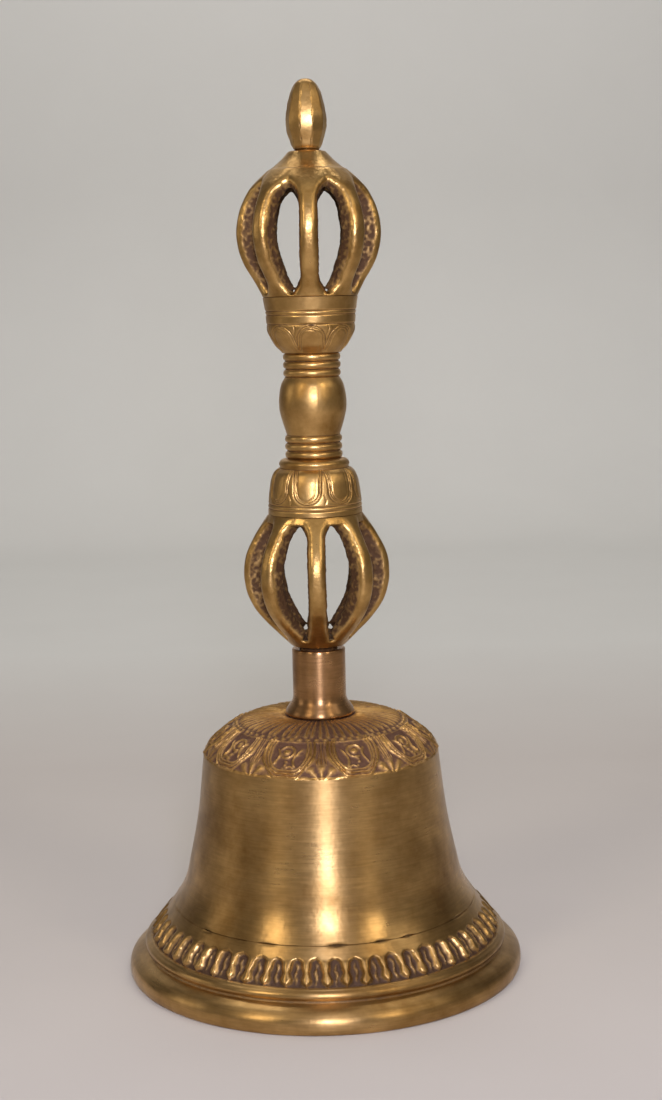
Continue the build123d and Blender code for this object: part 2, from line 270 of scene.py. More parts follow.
def bronze(
    name, bright, brown, recess, rough, brushed=0.0, blotch_mm=14.0, pit_mm=1.2, pits=0.1, relief=True,
):
    """Bell bronze: a bright alloy that a brown skin dulls in blotches and a dark one fills in its hollows.

    brushed is how far the highlight is drawn out across the turning marks, which run round the axis.
    """
    made, tree = new_material(name)
    where = add(tree, "ShaderNodeTexCoord").outputs["Object"]
    blotch_scale = 1 / (blotch_mm * MM)
    blotches = add(
        tree,
        "ShaderNodeTexNoise",
        {"Vector": where, "Scale": blotch_scale, "Detail": 5.0, "Roughness": 0.6},
    )
    skin = add(
        tree, "ShaderNodeMapRange", {"Value": blotches.outputs["Fac"], "From Min": 0.36, "From Max": 0.68}
    )
    metal = add(
        tree,
        "ShaderNodeMix",
        {0: skin.outputs["Result"], 6: linear(bright), 7: linear(brown)},
        data_type="RGBA",
    )
    fine = add(tree, "ShaderNodeTexNoise", {"Vector": where, "Scale": 1 / (pit_mm * MM), "Detail": 3.0})
    colour, dull = metal.outputs[2], skin.outputs["Result"]
    worn = None
    if relief:
        stored = add(tree, "ShaderNodeAttribute", attribute_name="worn")
        shaken = add(
            tree,
            "ShaderNodeMath",
            {0: fine.outputs["Fac"], 1: 0.5, 2: stored.outputs["Fac"]},
            operation="MULTIPLY_ADD",
        )
        worn = add(
            tree,
            "ShaderNodeMapRange",
            {"Value": shaken.outputs[0], "From Min": 0.34, "From Max": 0.90},
        ).outputs["Result"]
        colour = add(
            tree, "ShaderNodeMix", {0: worn, 6: linear(recess), 7: colour}, data_type="RGBA",
        ).outputs[2]
    # Turning marks are about 0.1 mm apart; drawn 0.45 mm apart, so that they show.
    turned_place = add(
        tree, "ShaderNodeMapping", {"Vector": where, "Scale": (1 / (6 * MM), 1 / (6 * MM), 1 / (0.45 * MM))},
    )
    marks = add(
        tree, "ShaderNodeTexNoise", {"Vector": turned_place.outputs["Vector"], "Scale": 1.0, "Detail": 3.0},
    )
    grain = marks.outputs["Fac"] if brushed else fine.outputs["Fac"]
    gloss = add(
        tree,
        "ShaderNodeMapRange",
        {"Value": dull, "To Min": rough - 0.05, "To Max": rough + 0.07},
    ).outputs["Result"]
    gloss = add(tree, "ShaderNodeMath", {0: grain, 1: 0.12, 2: gloss}, operation="MULTIPLY_ADD").outputs[0]
    if worn is not None:
        gloss = add(
            tree, "ShaderNodeMapRange", {"Value": worn, "To Min": 0.70, "To Max": gloss}
        ).outputs["Result"]
    if brushed:
        streaks = add(
            tree, "ShaderNodeMapRange", {"Value": grain, "From Min": 0.3, "From Max": 0.7, "To Min": 0.80},
        )
        colour = add(
            tree,
            "ShaderNodeMix",
            {0: 1.0, 6: colour, 7: streaks.outputs["Result"]},
            data_type="RGBA",
            blend_type="MULTIPLY",
        ).outputs[2]
    pitted = {"Height": fine.outputs["Fac"], "Distance": (0.02 if brushed else pits) * MM}
    bump = add(tree, "ShaderNodeBump", pitted)
    shader = add(
        tree,
        "ShaderNodeBsdfPrincipled",
        {"Base Color": colour, "Metallic": 1.0, "Roughness": gloss, "Normal": bump.outputs["Normal"]},
    )
    shader.inputs["Specular IOR Level"].default_value = 0.25
    if worn is not None:
        metallic = add(tree, "ShaderNodeMapRange", {"Value": worn, "To Min": 0.35, "To Max": 1.0})
        tree.links.new(metallic.outputs["Result"], shader.inputs["Metallic"])
    if brushed:
        shader.inputs["Anisotropic"].default_value = brushed
        shader.inputs["Anisotropic Rotation"].default_value = 0.25
        tangent = add(tree, "ShaderNodeTangent", direction_type="RADIAL", axis="Z")
        tree.links.new(tangent.outputs["Tangent"], shader.inputs["Tangent"])
    add(tree, "ShaderNodeOutputMaterial", {"Surface": shader.outputs["BSDF"]})
    return made


def plain_metal(name, bright, dark, rough, grain_mm):
    """Iron or steel: an even metal, mottled by scale or handling."""
    made, tree = new_material(name)
    where = add(tree, "ShaderNodeTexCoord").outputs["Object"]
    mottle = add(tree, "ShaderNodeTexNoise", {"Vector": where, "Scale": 1 / (grain_mm * MM), "Detail": 6.0})
    share = add(
        tree, "ShaderNodeMapRange", {"Value": mottle.outputs["Fac"], "From Min": 0.35, "From Max": 0.65},
    )
    colour = add(
        tree,
        "ShaderNodeMix",
        {0: share.outputs["Result"], 6: linear(dark), 7: linear(bright)},
        data_type="RGBA",
    )
    gloss = add(
        tree,
        "ShaderNodeMapRange",
        {"Value": share.outputs["Result"], "To Min": rough + 0.18, "To Max": rough},
    )
    bump = add(
        tree, "ShaderNodeBump", {"Height": mottle.outputs["Fac"], "Strength": 0.6, "Distance": 0.12 * MM}
    )
    shader = add(
        tree,
        "ShaderNodeBsdfPrincipled",
        {
            "Base Color": colour.outputs[2],
            "Metallic": 1.0,
            "Roughness": gloss.outputs["Result"],
            "Normal": bump.outputs["Normal"],
        },
    )
    add(tree, "ShaderNodeOutputMaterial", {"Surface": shader.outputs["BSDF"]})
    return made


# Lathe-turned and brushed round the axis: one long upright highlight and soft bands beside it.
brushed_bell_bronze = bronze(
    "bell_bronze_turned_and_brushed", "#cba369", "#94703f", "#4f3a2c",
    rough=0.27, brushed=0.75, blotch_mm=16.0,
)
# Sand-cast ornament: crests rubbed golden, hollows filled with a matt purple-brown oxide.
cast_ornament_bronze = bronze(
    "bell_bronze_sand_cast_ornament", "#cba062", "#a07945", "#5a3f30",
    rough=0.31, blotch_mm=7.0, pit_mm=0.9, pits=0.12,
)
# Turned sleeve of a redder brass: fine marks, a tight coppery highlight.
turned_red_brass = bronze(
    "red_brass_turned_sleeve", "#c09364", "#936b42", "#5a4032",
    rough=0.26, brushed=0.7, blotch_mm=10.0, relief=False,
)
# Cast and filed ribs: smooth golden outside, raw dark casting skin on the sides and inside.
filed_cage_bronze = bronze(
    "bronze_cast_and_filed", "#c9a163", "#97713b", "#49321f",
    rough=0.28, blotch_mm=6.0, pit_mm=1.0, pits=0.09,
)
# Turned and then polished by hands: soft, clear reflections, dark only in the engraved lines.
handled_bronze = bronze(
    "bronze_turned_engraved_and_handled", "#cba264", "#97713c", "#44301f",
    rough=0.30, blotch_mm=8.0, pit_mm=1.6, pits=0.05,
)
# Steel dulled by handling: grey, weak reflections.
dull_steel = plain_metal("steel_dulled_by_handling", "#a3a09a", "#6c6862", 0.36, 2.5)
# Forged iron: dark scale, rubbed brighter where it strikes.
forged_iron = plain_metal("iron_forged_and_rubbed", "#6a625c", "#2f2925", 0.42, 3.5)


def finish(piece, material, cad_node, body="bell", stands_for=True):
    """Gives a finished piece its material and ties it to the frame."""
    piece.data.materials.clear()
    piece.data.materials.append(material)
    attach(piece, body)
    if stands_for:
        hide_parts(cad_node)


# -------------------------------------------------------------------------------------------- bell

GROOVE_RADIUS, GROOVE_HEIGHT = 38.35, 17.75  # engraved line between the waist and the ornament band
SEAM_RADIUS, SEAM_HEIGHT = 29.75, 55.6  # lower edge of the shoulder's ornament
WALL = 3.0
CEILING = CROWN - 4.4
PETALS = 10
RAYS = 64
FINGERS = 56
DOTS_RADIUS = 21.3


def engraved_line(angle, radius, height):
    """The cut line over the finger band: shallow, broken and a little wandering, as if cut by hand."""
    depth = 0.05 + 0.42 * np.clip(lumps(angle, radius, height * 0, 5.0, 3.0) + 0.15, 0, 1)
    drift = 0.22 * lumps(angle, radius, height * 0, 16.0, 9.0)
    return -depth * crest(height - GROOVE_HEIGHT - drift, 0.26)


def dome_run(rows):
    """The outside of the shoulder and the crown, from the ornament's lower edge up to the neck's foot."""
    points = [
        (SEAM_RADIUS, SEAM_HEIGHT), (28.55, 57.85), (26.0, 60.2), (21.9, 63.1), (16.5, 64.8),
        (FOOT - 0.4, CROWN - 0.1),
    ]
    return smooth_run(points, rows)


def shoulder_relief(outline):
    """Rays round the neck, a ring of dots, and lotus petals with flutes and leaves between them."""
    dots_run = run_at(outline, DOTS_RADIUS, 63.4)
    last_run = run_at(outline, FOOT - 0.4, CROWN - 0.1)

    def relief(angle, run, radius, height):
        rng = random.Random(5)
        lean = np.array([rng.uniform(-0.012, 0.012) for _ in range(RAYS)])
        off, which = off_nearest(angle, RAYS, FRONT)
        ray = crest(off + lean[which] * (last_run - run) / 10, 0.21 * 2 * math.pi / RAYS)
        ray *= within(run, dots_run + 0.9, last_run - 0.6, 0.22)
        dot_off, _ = off_nearest(angle, RAYS, FRONT + math.pi / RAYS)
        dot = crest(np.hypot(dot_off * radius, run - dots_run), 0.58)
        ring = crest(run - dots_run + 0.95, 0.24)
        # Petals hang from the ring: straight sides, a round lower end and three nested ridges.
        first = FRONT + math.pi / PETALS
        petal_off, petal = off_nearest(angle, PETALS, first)
        side = np.where(petal % 2 == 0, 1.0, -1.0)
        sway = 0.28 * lumps(angle, radius, height, 5.0, 7.0)
        across, down = petal_off * radius + sway, dots_run - 1.0 - run
        middle = 4.6
        half = np.where(down < middle, 6.7 - 1.1 * ((middle - down) / middle) ** 2, 6.7)
        scallop = 1 + 0.05 * np.cos(across * 1.15) * within(down, middle, 20.0, 0.8)
        reach = np.hypot(across / half, np.clip(down - middle, 0, None) / 6.1) * scallop
        ridges = (
            crest(reach - 0.95, 0.052)
            + 0.9 * crest(reach - 0.80, 0.045)
            + 0.7 * crest(reach - 0.675, 0.04)
        )
        # Inside: a round curl over a string of beads, between two bent stems.
        from_side = across * side
        curl = np.hypot(from_side - 0.35, down - 3.3)
        open_side = within(np.arctan2(down - 3.3, from_side - 0.35), -0.35, 0.95, 0.12)
        arch = crest(curl - 1.75, 0.30) * (1 - open_side) + 0.9 * crest(curl - 0.25, 0.55)
        left_stem = from_side + 2.35 - 0.75 * np.sin(0.75 * (down - 3.6))
        right_stem = from_side - 2.75 + 0.65 * np.sin(0.85 * (down - 2.4))
        stems = np.maximum(crest(left_stem, 0.30), crest(right_stem, 0.28)) * within(down, 2.4, 9.3, 0.2)
        foot = np.hypot(from_side + 1.0, down - 8.4)
        arch = np.maximum(arch, np.maximum(stems, crest(foot - 0.95, 0.26)))
        string = from_side - 0.45 - 0.45 * np.sin(1.3 * down + petal)
        bead_down = (down + 0.3 * side) % 1.05 - 0.525
        beads = crest(np.hypot(string, bead_down), 0.42) * within(down, 5.4, 9.0, 0.15)
        inner = within(reach, -1.0, 0.60, 0.02)
        petals = (ridges + inner * np.maximum(0.85 * arch, 0.8 * beads)) * within(down, -0.3, 10.75, 0.12)
        # Between two petals: flutes that draw together, over a small fan of leaf.
        gap_off, _ = off_nearest(angle, PETALS, first + math.pi / PETALS)
        gap_across = gap_off * radius
        outside = within(reach, 1.06, 9.0, 0.02)
        spacing = 0.50 + 0.34 * np.clip(1 - down / 8.5, 0, 1)
        flute = 0.5 + 0.5 * np.cos(2 * math.pi * gap_across / spacing)
        flutes = 0.75 * flute * within(down, -0.2, 7.0, 0.2) * within(
            np.abs(gap_across), -1, 2.6 * spacing, 0.1,
        )
        fan_turn = np.arctan2(gap_across, 11.6 - down)
        fan = (0.55 + 0.45 * np.cos(9 * fan_turn)) * within(down, 7.3, 10.9, 0.18)
        between_petals = (flutes + 0.8 * fan) * outside
        height_mm = 0.50 * ray + 0.52 * dot + 0.24 * ring + 0.62 * petals + 0.50 * between_petals
        rough = lumps(angle, radius, height, 1.3, 1.0)
        wide = lumps(angle, radius, height, 4.0, 2.0)
        on_top = within(run, 0.35, last_run + 0.3, 0.10)
        is_outside = run <= last_run + 0.5
        edge = 0.20 * crest(run - 0.55, 0.45) * (0.6 + 0.8 * wide)
        move = on_top * (height_mm - 0.30 + 0.10 * rough + 0.10 * wide) + edge
        worn = 0.02 + 1.45 * height_mm + 0.22 * wide + 0.15 * rough
        worn = np.where(run < 0.5, 1.0, worn)
        return np.where(is_outside, move, 0.0), np.where(is_outside, worn, 0.75)

    return relief


def bell_shoulder():
    outside = dome_run(104)
    inside = joined_runs(
        straight_run((STUD, CROWN - 0.1), (STUD, CEILING), 2),
        straight_run((STUD, CEILING), (12.0, CEILING), 2),
        smooth_run(
            [(12.0, CEILING), (19.4, 59.6), (23.9, 57.9), (SEAM_RADIUS - WALL + 0.05, SEAM_HEIGHT)], 12,
        ),
    )
    outline = joined_runs(outside, inside)
    piece = turned("bell_shoulder_ornament", outline, 720)
    raised(piece, outline, shoulder_relief(outline))
    smooth(piece, 60)
    finish(piece, cast_ornament_bronze, "bell_body")


def bell_waist():
    waist = [
        (GROOVE_RADIUS, GROOVE_HEIGHT), (36.5, 20.7), (35.35, 23.2), (33.75, 29.6), (31.75, 39.4),
        (30.15, 52.0), (SEAM_RADIUS, SEAM_HEIGHT),
    ]
    outside = smooth_run(waist, 84)
    inside = smooth_run([(r - WALL + 0.05 * (z > 50), z) for r, z in waist[::-1]], 24)
    outline = joined_runs(outside, inside)

    def relief(angle, run, radius, height):
        dents = 0.035 * lumps(angle, radius, height, 13.0, 4.0)
        move = engraved_line(angle, radius, height) + dents * within(height, 19.5, 54.5, 0.6)
        worn = 1.0 + 2.4 * engraved_line(angle, radius, height)
        inner = radius < np.interp(height, [17.75, 23, 30, 55.6], [37.2, 33.9, 32.2, 28.4])
        return np.where(inner, 0.0, move), np.where(inner, 0.8, worn)

    piece = turned("bell_waist", outline, 448)
    raised(piece, outline, relief)
    smooth(piece, 50)
    finish(piece, brushed_bell_bronze, "bell_body", stands_for=False)


def finger_relief(outline):
    """A row of fingers that hang from the plain strip, each pinched in the middle over a round bulb."""
    strip_run = run_at(outline, 40.3, 15.1)
    rng = random.Random(11)
    width = np.array([rng.uniform(0.82, 1.16) for _ in range(FINGERS)])
    lean = np.array([rng.uniform(-0.13, 0.13) for _ in range(FINGERS)])
    pinch = np.array([rng.uniform(-0.3, 0.3) for _ in range(FINGERS)])
    downs = [-0.6, -0.1, 0.35, 0.9, 2.3, 3.3, 4.2, 5.1, 5.9, 6.45]
    halves = [4.0, 2.1, 1.32, 1.12, 1.06, 0.74, 1.0, 1.36, 1.02, 0.0]

    def relief(angle, run, radius, height):
        down = strip_run - run
        off, which = off_nearest(angle, FINGERS, FRONT)
        across = off * radius + lean[which] * (down - 3.0) + 0.16 * lumps(angle, radius, height, 2.2, 5.0)
        half = np.interp(down + pinch[which] * within(down, 1.0, 6.0, 0.3), downs, halves) * width[which]
        finger = 1 / (1 + np.exp(-np.clip((half - np.abs(across)) / 0.15, -40, 40)))
        sunk = within(down, -0.4, 6.75, 0.10)
        gap_off, _ = off_nearest(angle, FINGERS, FRONT + math.pi / FINGERS)
        rib = crest(gap_off * radius - 0.22 * np.sin(1.9 * down + which), 0.32)
        rib = rib * within(down, 1.0, 5.7, 0.25)
        bulge = 1 - np.clip(across / np.maximum(half, 0.3), -1, 1) ** 2
        swell = 0.26 * bulge * within(down, 0.6, 6.6, 0.2)
        rough = lumps(angle, radius, height, 1.4, 6.0)
        floor = -0.85 + 0.42 * rib + 0.16 * rough
        band = sunk * (finger * swell + (1 - finger) * floor)
        line = engraved_line(angle, radius, height)
        dents = 0.03 * lumps(angle, radius, height, 9.0, 8.0)
        worn = 1.0 - sunk * (1 - finger) * (1.0 - 0.55 * rib) + 2.4 * line + 0.1 * rough
        # The groove over the lip is coloured darker along its whole length.
        worn = worn - 0.75 * crest(height - 6.7, 0.32)
        outer = run < strip_run + 4.2
        return np.where(outer, band + line + dents, 0.0), np.where(outer, worn, 0.8)

    return relief


def bell_foot():
    lip = smooth_run(
        [
            (RIM - 1.25, 0.02), (RIM - 0.55, 0.25), (RIM - 0.22, 0.9), (RIM - 0.1, 2.2), (RIM - 0.35, 3.6),
            (RIM - 1.5, 5.0), (46.1, 6.3),
        ],
        26,
    )
    groove = smooth_run([(46.1, 6.3), (45.45, 6.62), (45.4, 6.85), (45.75, 7.25)], 6)
    bead = smooth_run([(45.75, 7.25), (46.05, 7.95), (45.75, 8.75), (45.0, 9.25)], 8)
    band = joined_runs(
        straight_run((45.0, 9.25), (40.3, 15.1), 30),
        smooth_run([(40.3, 15.1), (39.1, 16.7), (GROOVE_RADIUS, GROOVE_HEIGHT)], 12),
    )
    inside = joined_runs(
        smooth_run(
            [
                (GROOVE_RADIUS - WALL, GROOVE_HEIGHT), (38.6, 12.0), (42.3, 6.6), (44.2, 3.4), (44.9, 1.0),
                (45.5, 0.02),
            ],
            16,
        ),
        straight_run((45.5, 0.02), (RIM - 1.25, 0.02), 1),
    )
    outline = joined_runs(lip, groove, bead, band, inside)[:-1]
    piece = turned("bell_lip_and_finger_band", outline, 896)
    raised(piece, outline, finger_relief(outline))
    smooth(piece, 60)
    finish(piece, brushed_bell_bronze, "bell_body", stands_for=False)


# ------------------------------------------------------------------------------------------ handle


RIBS = 8
RIB_WIDTH, RIB_DEPTH = 4.45, 5.3  # at the middle of a rib
CUP_PETALS = 8
CAST_STEP = 0.31  # grid of the cast skin
CAST_SMOOTHING = 5  # passes that soften its corners
LATHE_STEPS = 96  # round the cages' hubs, before they are cast together


def neck_ferrule():
    neck = 6.7
    foot = smooth_run(
        [
            (FOOT - 0.25, NECK_LOW), (FOOT - 0.02, NECK_LOW + 0.3), (FOOT - 0.1, NECK_LOW + 0.95),
            (FOOT - 0.75, NECK_LOW + 2.1), (neck + 0.25, NECK_LOW + 3.6), (neck, NECK_LOW + 4.7),
        ],
        24,
    )
    tube = joined_runs(
        straight_run((neck, NECK_LOW + 4.7), (neck, NECK_TOP - 0.3), 14),
        smooth_run([(neck, NECK_TOP - 0.3), (neck - 0.12, NECK_TOP - 0.06), (neck - 0.4, NECK_TOP)], 4),
    )
    inside = joined_runs(
        straight_run((neck - 0.4, NECK_TOP), (4.85, NECK_TOP - 0.15), 2),
        straight_run((4.85, NECK_TOP - 5.4), (STUD + 0.05, NECK_TOP - 5.4), 1),
        straight_run((STUD + 0.05, NECK_LOW), (STUD + 0.05, NECK_LOW), 1),
    )
    outline = joined_runs(foot, tube, inside)

    def relief(angle, run, radius, height):
        outer = radius > neck - 0.6
        ends = within(height, NECK_LOW + 0.8, NECK_TOP - 0.6, 0.2)
        dents = 0.02 * lumps(angle, radius, height, 6.0, 12.0) * ends
        return np.where(outer, dents, 0.0), np.ones_like(height)

    piece = turned("neck_ferrule_turned", outline, 160)
    raised(piece, outline, relief)
    smooth(piece, 50)
    finish(piece, turned_red_brass, "neck_ferrule")


def rib(path, widths, depths):
    """One rib in the front plane: a rounded section extruded from station to station along its outside.

    path lists (radius, height) of the outside, and widths and depths list the section at each station.
    """
    deselect()
    bpy.ops.mesh.primitive_plane_add(size=MM, location=(0, 0, 0))
    piece = bpy.context.object
    bpy.ops.object.mode_set(mode="EDIT")
    bpy.ops.mesh.select_all(action="SELECT")
    bpy.ops.mesh.bevel(affect="VERTICES", offset=0.34 * MM, segments=4)
    track = np.array(path)
    along = np.gradient(track, axis=0)
    inward = np.stack([-along[:, 1], along[:, 0]], 1) / np.linalg.norm(along, axis=1)[:, None]
    tilts = np.unwrap(np.arctan2(-inward[:, 1], -inward[:, 0]))
    spots = [
        Vector((0, -(p[0] + n[0] * d / 2), p[1] + n[1] * d / 2)) * MM
        for p, n, d in zip(track, inward, depths)
    ]
    # The unit section lies flat, its Y side to the back.
    # It is sized, tilted and moved to each station in turn.
    bpy.ops.transform.resize(value=(widths[0], depths[0], 1), center_override=(0, 0, 0))
    lean = Matrix.Rotation(-tilts[0], 3, "X")
    place_section(piece, lean, spots[0])
    for k in range(1, len(path)):
        bpy.ops.mesh.extrude_region_move(TRANSFORM_OT_translate={"value": spots[k] - spots[k - 1]})
        bpy.ops.transform.resize(
            value=(widths[k] / widths[k - 1], depths[k] / depths[k - 1], depths[k] / depths[k - 1]),
            center_override=spots[k],
        )
        place_section(
            piece, Matrix.Rotation(-(tilts[k] - tilts[k - 1]), 3, "X"), Vector((0, 0, 0)), spots[k],
        )
    bpy.ops.mesh.select_all(action="SELECT")
    bpy.ops.mesh.normals_make_consistent(inside=False)
    bpy.ops.object.mode_set(mode="OBJECT")
    return piece


def place_section(piece, turn, move, centre=Vector((0, 0, 0))):
    """Turns the selected section about a centre and moves it."""
    mesh = bmesh.from_edit_mesh(piece.data)
    for corner in mesh.verts:
        if corner.select:
            corner.co = turn @ (corner.co - centre) + centre + move
    bmesh.update_edit_mesh(piece.data)


def cast_together(name, parts):
    """Casts overlapping parts into one skin, with the soft inner corners of a casting."""
    deselect()
    for part in parts:
        part.select_set(True)
    bpy.context.view_layer.objects.active = parts[0]
    bpy.ops.object.join()
    piece = bpy.context.object
    piece.name = piece.data.name = name
    remesh = piece.modifiers.new("one skin", "REMESH")
    remesh.mode, remesh.voxel_size = "VOXEL", CAST_STEP * MM
    bpy.ops.object.modifier_apply(modifier=remesh.name)
    soften = piece.modifiers.new("soft corners", "SMOOTH")
    soften.factor, soften.iterations = 0.5, CAST_SMOOTHING
    bpy.ops.object.modifier_apply(modifier=soften.name)
    return piece


def eight_ribs(first):
    """The modelled rib and seven turned copies of it, each with its own mesh."""
    ribs = [first]
    for k in range(1, RIBS):
        twin = first.copy()
        twin.data = first.data.copy()
        bpy.context.collection.objects.link(twin)
        twin.data.transform(Matrix.Rotation(k * 2 * math.pi / RIBS, 4, "Z"))
        ribs.append(twin)
    return ribs


def cage_skin(piece, path, seed):
    """Roughens the raw sides and inside of a cage, and marks its filed outside as worn."""
    places = corners(piece)
    radius, height = np.hypot(places[:, 0], places[:, 1]), places[:, 2]
    angle = np.arctan2(places[:, 1], places[:, 0])
    track = np.array(path)
    order = np.argsort(track[:, 1])
    outside = np.interp(height, track[order, 1], track[order, 0])
    depth = outside - radius
    raw = within(depth, 0.95, 99.0, 0.22)
    grit = lumps(angle, radius, height, 0.9, seed)
    wide = lumps(angle, radius, height, 3.2, seed + 5)
    normals = np.empty(len(piece.data.vertices) * 3)
    piece.data.vertices.foreach_get("normal", normals)
    swelling = raw * (0.16 * grit + 0.14 * wide) + (1 - raw) * 0.06 * wide
    put_corners(piece, places + normals.reshape(-1, 3) * swelling[:, None])
    rim = crest(depth - 1.0, 0.5)
    keep_worn(piece, 1.02 - raw * (0.95 - 0.45 * np.clip(grit, 0, 1)) + 0.25 * rim + 0.10 * wide)


def upper_cage():
    base, top = UPPER_CAGE_LOW, UPPER_CAGE_TOP
    outside = smooth_run(
        [
            (CUP, base + 0.4), (13.6, base + 4.0), (16.3, base + 8.7), (UPPER_CAGE - 0.1, base + 15.8),
            (16.7, base + 21.2), (14.4, base + 25.8), (10.6, base + 29.6), (6.9, base + 32.6),
            (4.7, top - 0.4),
        ],
        46,
    )
    path = outside[:40]
    share = np.linspace(0, 1, len(path))
    near_top = 4.6 * np.clip((share - 0.70) / 0.2, 0, 1) ** 2
    near_base = 3.2 * np.clip((0.10 - share) / 0.10, 0, 1) ** 1.5
    widths = RIB_WIDTH + near_top + near_base
    thinner_top = 2.0 * np.clip((share - 0.62) / 0.38, 0, 1)
    thinner_base = 1.0 * np.clip((0.2 - share) / 0.2, 0, 1)
    depths = RIB_DEPTH - thinner_top - thinner_base
    ribs = eight_ribs(rib(path, widths, depths))
    floor = turned(
        "floor",
        [
            (CORE, base), (CUP, base), (CUP + 0.1, base + 0.5), (CUP - 1.4, base + 1.0), (6.0, base + 0.9),
            (CORE, base + 0.9),
        ],
        LATHE_STEPS,
    )
    cone_outside = [(8.9, base + 28.3)] + [(r - 0.15, z) for r, z in outside[35:]]
    cone_inside = [(1.9, top), (1.9, base + 30.2), (5.4, base + 29.0)]
    cone = turned("cone", cone_outside + cone_inside, LATHE_STEPS)
    piece = cast_together("upper_cage_cast", ribs + [floor, cone])
    cage_skin(piece, outside, 21.0)
    smooth(piece, 180)
    finish(piece, filed_cage_bronze, "upper_cage")


def lower_cage():
    base, top = NECK_TOP + 0.9, LOWER_CAGE_TOP
    outside = smooth_run(
        [
            (6.9, base + 0.2), (10.2, base + 3.4), (13.2, base + 6.4), (16.3, base + 10.6),
            (17.9, base + 15.2), (LOWER_CAGE - 0.1, base + 19.0), (17.6, base + 23.0), (15.4, base + 27.6),
            (13.0, base + 31.4), (CUP, top - 0.2),
        ],
        46,
    )
    path = outside[3:]
    share = np.linspace(0, 1, len(path))
    near_top = 3.6 * np.clip((share - 0.88) / 0.12, 0, 1) ** 1.5
    near_base = 1.2 * np.clip((0.22 - share) / 0.22, 0, 1) ** 2
    widths = RIB_WIDTH + near_top + near_base
    thinner_top = 1.2 * np.clip((share - 0.75) / 0.25, 0, 1)
    thinner_base = 1.6 * np.clip((0.35 - share) / 0.35, 0, 1)
    depths = RIB_DEPTH - thinner_top - thinner_base
    ribs = eight_ribs(rib(path, widths, depths))
    foot = turned(
        "foot",
        joined_runs(
            [(6.0, base - 0.1), (6.7, base)], outside[:4], [(6.0, base + 2.9), (CORE, base + 2.4)],
            [(CORE, base - 0.1)],
        ),
        LATHE_STEPS,
    )
    spigot = turned(
        "spigot",
        [
            (CORE, NECK_TOP - 5.0), (4.6, NECK_TOP - 5.0), (4.6, NECK_TOP), (5.2, base + 0.6),
            (CORE, base + 0.6),
        ],
        LATHE_STEPS,
    )
    lid = turned(
        "lid",
        [(CORE, top - 2.4), (8.6, top - 2.6), (CUP + 0.7, top - 2.0), (CUP, top), (CORE, top)],
        LATHE_STEPS,
    )
    piece = cast_together("lower_cage_cast", ribs + [foot, spigot, lid])
    cage_skin(piece, outside, 34.0)
    smooth(piece, 180)
    finish(piece, filed_cage_bronze, "lower_cage")


def petal_lines(angle, run, radius, tip_run, throat_run, first, direction):
    """Eight engraved petals round a cup: a double round line at the tip end, and short strokes between."""
    off, _ = off_nearest(angle, CUP_PETALS, first)
    across = off * radius
    down = (run - tip_run) * direction
    length = abs(throat_run - tip_run)
    half = 3.55
    centre = 3.1
    reach = np.hypot(across, np.clip(centre - down, 0, None) * half / centre)
    inside = within(down, -0.6, length, 0.1)
    outer = crest(reach - half, 0.15)
    second = crest(reach - half + 0.62, 0.12)
    third = crest(np.hypot(across + 0.35, np.clip(centre + 0.3 - down, 0, None) * 0.9) - half + 1.35, 0.14)
    third = third * within(across, -9, 1.6, 0.3)
    gap_off, _ = off_nearest(angle, CUP_PETALS, first + math.pi / CUP_PETALS)
    stroke = crest(gap_off * radius - 0.2 * np.sin(run * 2), 0.15) * within(down, 0.2, 2.6, 0.15)
    return np.clip(outer + 0.85 * second + 0.8 * third, 0, 1.2) * inside + 0.7 * stroke


def cup_relief(outline, rings, tip, throat, first, direction):
    """Engraved rings and petals on a lotus cup."""
    ring_runs = [run_at(outline, r, z) for r, z in rings]
    tip_run, throat_run = run_at(outline, *tip), run_at(outline, *throat)
    last = max(throat_run, tip_run, ring_runs[0])

    def relief(angle, run, radius, height):
        drift = 0.14 * lumps(angle, radius, height * 0, 6.0, first)
        lines = sum(crest(run - spot - drift * (1 if k else 0.6), 0.17) for k, spot in enumerate(ring_runs))
        petals = petal_lines(angle, run, radius, tip_run, throat_run, first, direction)
        cut = np.clip(lines + petals, 0, 1.1)
        pillow = 0.05 * lumps(angle, radius, height, 3.0, 14.0)
        outer = (run <= last + 3.0) & (radius > CORE + 2.5)
        return np.where(outer, pillow - 0.24 * cut, 0.0), np.where(outer, 1.05 - 0.95 * cut, 1.0)

    return relief


def upper_lotus_cup():
    low, top = UPPER_CUP_LOW, UPPER_CUP_TOP
    outline = joined_runs(
        smooth_run(
            [
                (7.2, low), (7.85, low + 0.7), (8.9, low + 1.8), (9.7, low + 3.1), (10.4, low + 4.4),
                (10.85, low + 5.6), (10.95, low + 7.2), (11.1, low + 9.5), (CUP, top),
            ],
            92,
        ),
        [(CORE, top), (CORE, low)],
    )
    piece = turned("upper_lotus_cup_engraved", outline, 480)
    rings = [(11.1, top - 4.3), (11.25, top - 3.3), (11.05, top - 6.6)]
    raised(piece, outline, cup_relief(outline, rings, (10.95, top - 6.9), (7.6, low + 0.5), FRONT, -1))
    smooth(piece, 60)
    finish(piece, handled_bronze, "upper_lotus_cup")


